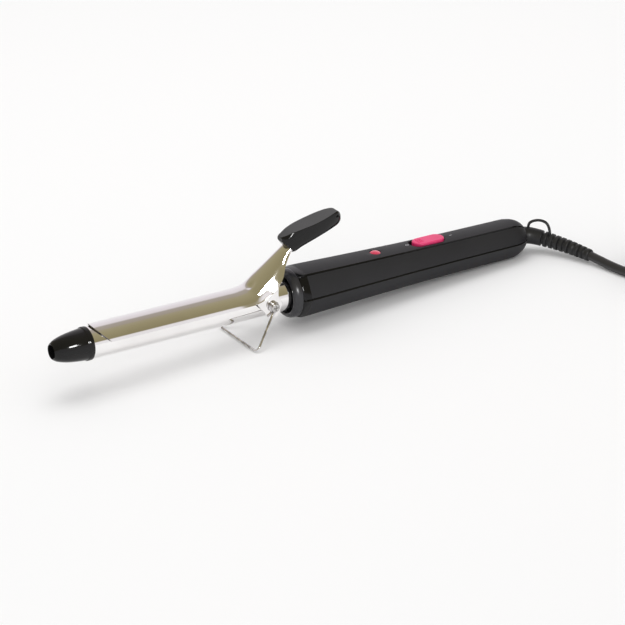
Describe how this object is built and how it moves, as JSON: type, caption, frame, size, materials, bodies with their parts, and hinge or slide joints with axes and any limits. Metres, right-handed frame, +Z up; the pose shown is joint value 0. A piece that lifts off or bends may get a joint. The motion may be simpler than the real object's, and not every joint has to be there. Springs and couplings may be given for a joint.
{
  "type": "curling iron",
  "caption": "Curling iron with a sprung clamp on a round barrel, folding wire stand, six-sided handle with slide switch and lamp, and a mains cord with plug.",
  "frame": {"origin": "bottom centre of the iron's box as it stands on its wire foot and the heel of its handle, on the supporting surface", "axes": "+X from the cool tip towards the handle's cord end, +Y to the right of the iron seen from the handle looking at the tip, +Z up"},
  "size_m": [0.4598, 0.1432, 0.0643],
  "materials": {
    "barrel_chrome": "polished",
    "wire_chrome": "polished",
    "screw_steel": "satin",
    "spring_steel": "satin",
    "black_gloss": "high gloss",
    "black_satin": "satin",
    "collar_grey": "semi gloss",
    "pink": "semi gloss",
    "lens_pink": "translucent gloss",
    "boot_black": "satin",
    "cord_black": "satin",
    "aluminium": "extruded",
    "ceramic": "matte ceramic",
    "film": "amber film",
    "brass": "plain",
    "inner_plastic": "matte",
    "lamp_glass": "clear",
    "lead_sleeve": "braided glass sleeve",
    "tie_black": "matte"
  },
  "bodies": {
    "iron": {"cool_tip": "black_gloss", "barrel_tube": "barrel_chrome", "heat_spreader_upper": "aluminium", "heat_spreader_lower": "aluminium", "insulation_sleeve": "film", "ptc_elements": "ceramic", "electrode_strips": "brass", "retaining_ring": "spring_steel", "clamp_spring": "spring_steel", "spring_screw": "screw_steel", "pivot_bar": "screw_steel", "pivot_screws": "screw_steel", "spacer_washers": "screw_steel", "front_collar": "collar_grey", "handle_upper_shell": "black_satin", "handle_lower_shell": "black_satin", "handle_screws": "screw_steel", "switch_body": "inner_plastic", "switch_screws": "screw_steel", "switch_terminals": "brass", "lamp_lens": "lens_pink", "neon_lamp": "lamp_glass", "lamp_resistor": "inner_plastic", "thermal_fuse": "aluminium", "heater_leads": "lead_sleeve", "supply_leads": "lead_sleeve", "cord_clamp": "inner_plastic", "cord_clamp_screws": "screw_steel", "inner_cord": "cord_black", "strain_relief": "boot_black", "hang_loop": "boot_black", "supply_cord": "cord_black", "cord_hank": "cord_black", "cord_tie": "tie_black", "cord_tail": "cord_black", "plug_body": "boot_black", "plug_pins": "brass"},
    "clamp": {"clamp": "barrel_chrome", "thumb_rest": "black_gloss", "thumb_rest_rivet": "screw_steel"},
    "stand": {"stand_wire": "wire_chrome"},
    "switch_slider": {"switch_button": "pink"}
  },
  "joints": [
    {"name": "clamp_pivot", "type": "hinge", "parent": "iron", "child": "clamp", "pos_m": [-0.0239, 0, 0.02114], "axis": [0, 1, 0], "range_deg": [0, 20], "stiffness_Nm_per_rad": 0.4, "springref_deg": -17.19, "deforming": ["clamp_spring"]},
    {"name": "stand_pivot", "type": "hinge", "parent": "iron", "child": "stand", "pos_m": [-0.0239, 0, 0.02114], "axis": [0, 1, 0], "range_deg": [-80, 26]},
    {"name": "switch_slide", "type": "slide", "parent": "iron", "child": "switch_slider", "axis": [-0.9984, 0, 0.0568], "range_m": [0, 0.0022]}
  ]
}
